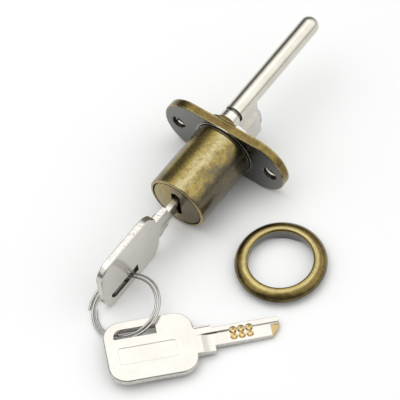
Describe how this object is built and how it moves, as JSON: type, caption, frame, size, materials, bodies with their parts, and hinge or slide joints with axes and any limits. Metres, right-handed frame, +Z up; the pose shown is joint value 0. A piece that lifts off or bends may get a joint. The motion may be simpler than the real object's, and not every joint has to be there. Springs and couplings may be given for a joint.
{
  "type": "drawer lock",
  "caption": "Cylinder drawer lock with an oval screw flange, a turning plug that carries an eccentric round pin, two dimple keys on a split ring and a loose escutcheon.",
  "frame": {"origin": "centre of the flange's front face on the barrel's axis", "axes": "+Y rearward into the drawer along the barrel, +X along the flange, +Z up towards the eccentric pin at its home position"},
  "size_m": [0.0725, 0.1315, 0.0242],
  "materials": {
    "antique_brass": "antique, dark, satin",
    "bright_nickel": "polished nickel",
    "key_nickel": "satin nickel",
    "ring_steel": "bright drawn wire",
    "plug_brass": "antique, satin",
    "plain_brass": "turned",
    "plain_steel": "bright zinc"
  },
  "bodies": {
    "lock_body": {"housing": "antique_brass", "chamber_cap_1": "plain_brass", "chamber_cap_2": "plain_brass", "chamber_cap_3": "plain_brass", "chamber_cap_4": "plain_brass", "chamber_cap_5": "plain_brass", "chamber_cap_6": "plain_brass", "pin_spring_1": "plain_steel", "pin_spring_2": "plain_steel", "pin_spring_3": "plain_steel", "pin_spring_4": "plain_steel", "pin_spring_5": "plain_steel", "pin_spring_6": "plain_steel"},
    "turning_plug": {"plug": "plug_brass", "retaining_clip": "plain_steel", "driver": "bright_nickel", "eccentric_pin": "bright_nickel", "driver_washer": "plain_steel", "driver_screw": "plain_steel"},
    "key_pin_1": {"key_pin_1": "plain_brass"},
    "key_pin_2": {"key_pin_2": "plain_brass"},
    "key_pin_3": {"key_pin_3": "plain_brass"},
    "key_pin_4": {"key_pin_4": "plain_brass"},
    "key_pin_5": {"key_pin_5": "plain_brass"},
    "key_pin_6": {"key_pin_6": "plain_brass"},
    "driver_pin_1": {"driver_pin_1": "plain_brass"},
    "driver_pin_2": {"driver_pin_2": "plain_brass"},
    "driver_pin_3": {"driver_pin_3": "plain_brass"},
    "driver_pin_4": {"driver_pin_4": "plain_brass"},
    "driver_pin_5": {"driver_pin_5": "plain_brass"},
    "driver_pin_6": {"driver_pin_6": "plain_brass"},
    "key_in_lock": {"key_in_lock": "key_nickel"},
    "split_ring": {"split_ring": "ring_steel"},
    "spare_key": {"spare_key": "key_nickel"},
    "escutcheon": {"escutcheon": "antique_brass"}
  },
  "joints": [
    {"name": "plug_turn", "type": "hinge", "parent": "lock_body", "child": "turning_plug", "pos_m": [0, 0, 0], "axis": [0, 1, 0], "range_deg": [0, 180]},
    {"name": "key_pin_1_lift", "type": "slide", "parent": "turning_plug", "child": "key_pin_1", "axis": [1, 0, 0], "range_m": [-0.0004, 0]},
    {"name": "key_pin_2_lift", "type": "slide", "parent": "turning_plug", "child": "key_pin_2", "axis": [1, 0, 0], "range_m": [-0.0004, 0]},
    {"name": "key_pin_3_lift", "type": "slide", "parent": "turning_plug", "child": "key_pin_3", "axis": [1, 0, 0], "range_m": [-0.0004, 0]},
    {"name": "key_pin_4_lift", "type": "slide", "parent": "turning_plug", "child": "key_pin_4", "axis": [1, 0, 0], "range_m": [-0.0004, 0]},
    {"name": "key_pin_5_lift", "type": "slide", "parent": "turning_plug", "child": "key_pin_5", "axis": [1, 0, 0], "range_m": [-0.0004, 0]},
    {"name": "key_pin_6_lift", "type": "slide", "parent": "turning_plug", "child": "key_pin_6", "axis": [1, 0, 0], "range_m": [-0.0004, 0]},
    {"name": "driver_pin_1_lift", "type": "slide", "parent": "lock_body", "child": "driver_pin_1", "axis": [1, 0, 0], "range_m": [-0.00035, 0.00045], "stiffness_N_per_m": 20, "deforming": ["pin_spring_1"]},
    {"name": "driver_pin_2_lift", "type": "slide", "parent": "lock_body", "child": "driver_pin_2", "axis": [1, 0, 0], "range_m": [-0.00035, 0.00045], "stiffness_N_per_m": 20, "deforming": ["pin_spring_2"]},
    {"name": "driver_pin_3_lift", "type": "slide", "parent": "lock_body", "child": "driver_pin_3", "axis": [1, 0, 0], "range_m": [-0.00035, 0.00045], "stiffness_N_per_m": 20, "deforming": ["pin_spring_3"]},
    {"name": "driver_pin_4_lift", "type": "slide", "parent": "lock_body", "child": "driver_pin_4", "axis": [1, 0, 0], "range_m": [-0.00035, 0.00045], "stiffness_N_per_m": 20, "deforming": ["pin_spring_4"]},
    {"name": "driver_pin_5_lift", "type": "slide", "parent": "lock_body", "child": "driver_pin_5", "axis": [1, 0, 0], "range_m": [-0.00035, 0.00045], "stiffness_N_per_m": 20, "deforming": ["pin_spring_5"]},
    {"name": "driver_pin_6_lift", "type": "slide", "parent": "lock_body", "child": "driver_pin_6", "axis": [1, 0, 0], "range_m": [-0.00035, 0.00045], "stiffness_N_per_m": 20, "deforming": ["pin_spring_6"]},
    {"name": "key_slide", "type": "slide", "parent": "turning_plug", "child": "key_in_lock", "axis": [0, -1, 0], "range_m": [-0.0052, 0.02]},
    {"name": "ring_swing", "type": "hinge", "parent": "key_in_lock", "child": "split_ring", "pos_m": [0.00115, -0.053, -0.006], "axis": [0, 0, -1], "range_deg": [0, 20]},
    {"name": "spare_key_swing", "type": "hinge", "parent": "split_ring", "child": "spare_key", "pos_m": [0.01287, -0.06545, -0.00672], "axis": [-0.631, -0.725, -0.276], "range_deg": [0, 12]},
    {"name": "escutcheon_lift", "type": "slide", "parent": "lock_body", "child": "escutcheon", "axis": [0, 0, 1], "range_m": [0, 0.05]}
  ]
}
